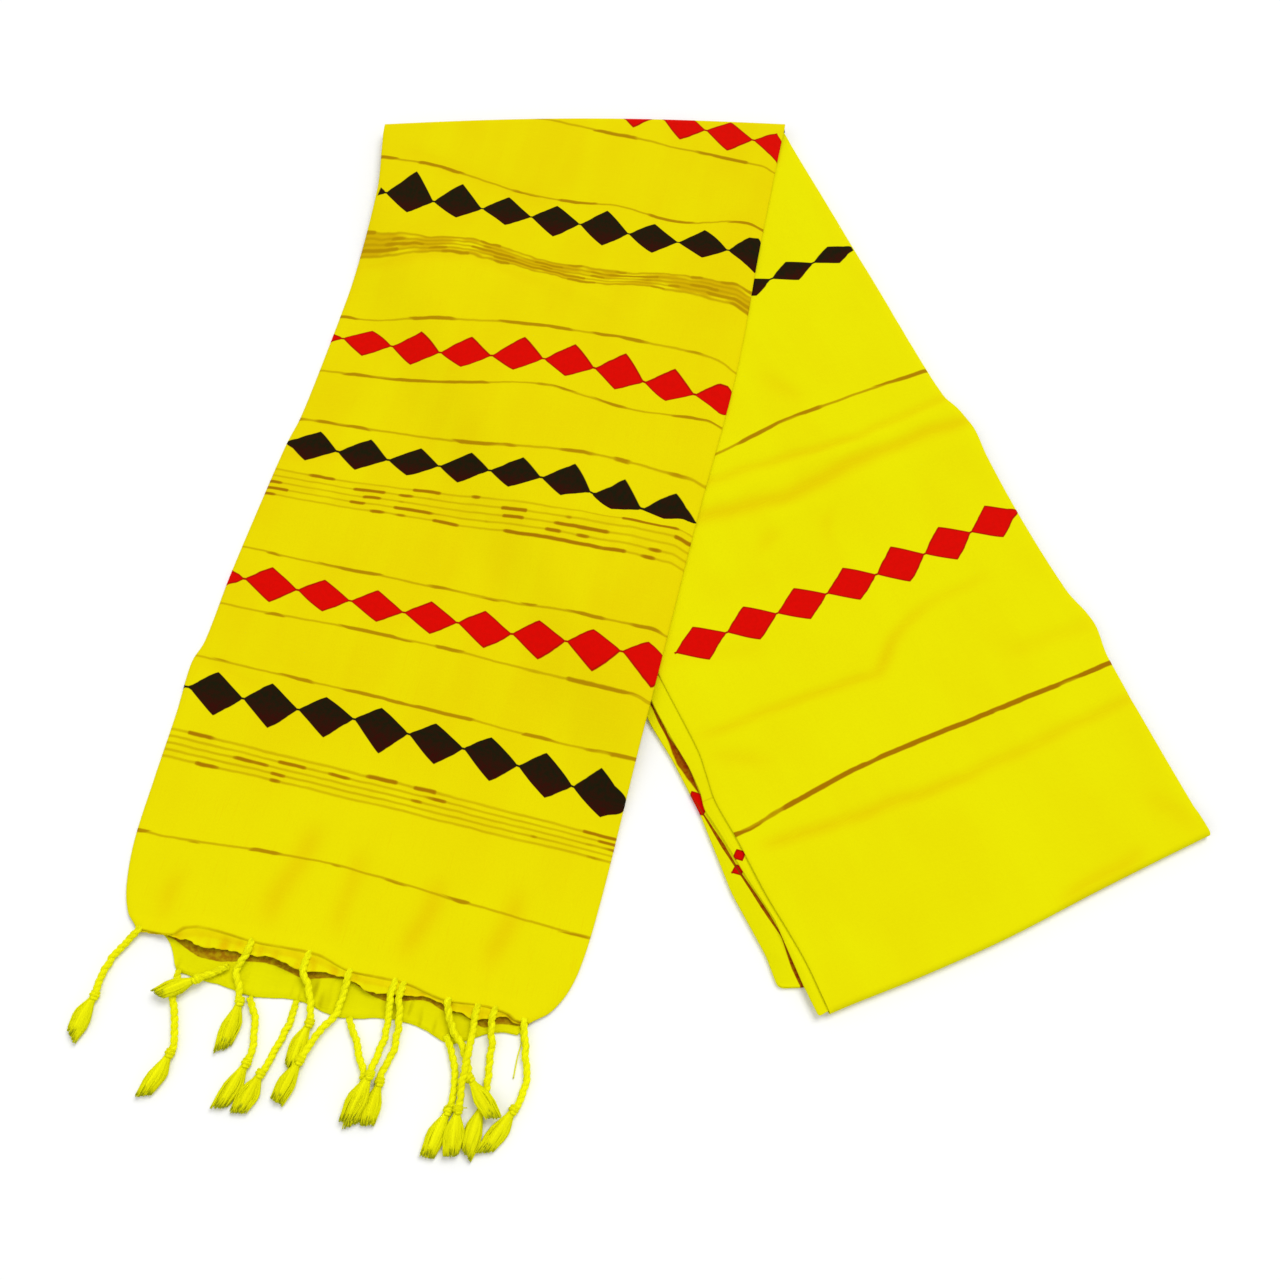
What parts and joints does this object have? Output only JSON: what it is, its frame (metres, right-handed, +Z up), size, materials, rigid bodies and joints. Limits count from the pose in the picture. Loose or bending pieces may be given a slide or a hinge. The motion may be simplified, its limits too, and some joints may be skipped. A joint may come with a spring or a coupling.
{
  "type": "saree",
  "caption": "Handwoven yellow cotton saree with diamond rows in red and black, folded to a strip and laid flat in a V.",
  "frame": {"origin": "centre of the bounding box on the surface the saree lies on", "axes": "+Z up from the surface, +Y towards the top fold and away from the tassels, +X towards the body leg"},
  "size_m": [0.6892, 0.7395, 0.0118],
  "materials": {
    "cotton_face": "matte handloom weave with a soft sheen",
    "cotton_shade": "matte handloom weave, seen in shade",
    "cotton_fold": "matte folded edges",
    "twisted_cord": "soft two-ply cotton twist"
  },
  "bodies": {
    "root": {"pallu_face": "cotton_face", "pallu_under": "cotton_shade", "body_face": "cotton_face", "middle_packet": "cotton_fold", "lower_packet": "cotton_fold", "tassel_01": "twisted_cord", "tassel_02": "twisted_cord", "tassel_03": "twisted_cord", "tassel_04": "twisted_cord", "tassel_05": "twisted_cord", "tassel_06": "twisted_cord", "tassel_07": "twisted_cord", "tassel_08": "twisted_cord", "tassel_09": "twisted_cord", "tassel_10": "twisted_cord", "tassel_11": "twisted_cord", "tassel_12": "twisted_cord", "tassel_13": "twisted_cord", "tassel_14": "twisted_cord", "tassel_15": "twisted_cord", "tassel_16": "twisted_cord"}
  },
  "joints": []
}
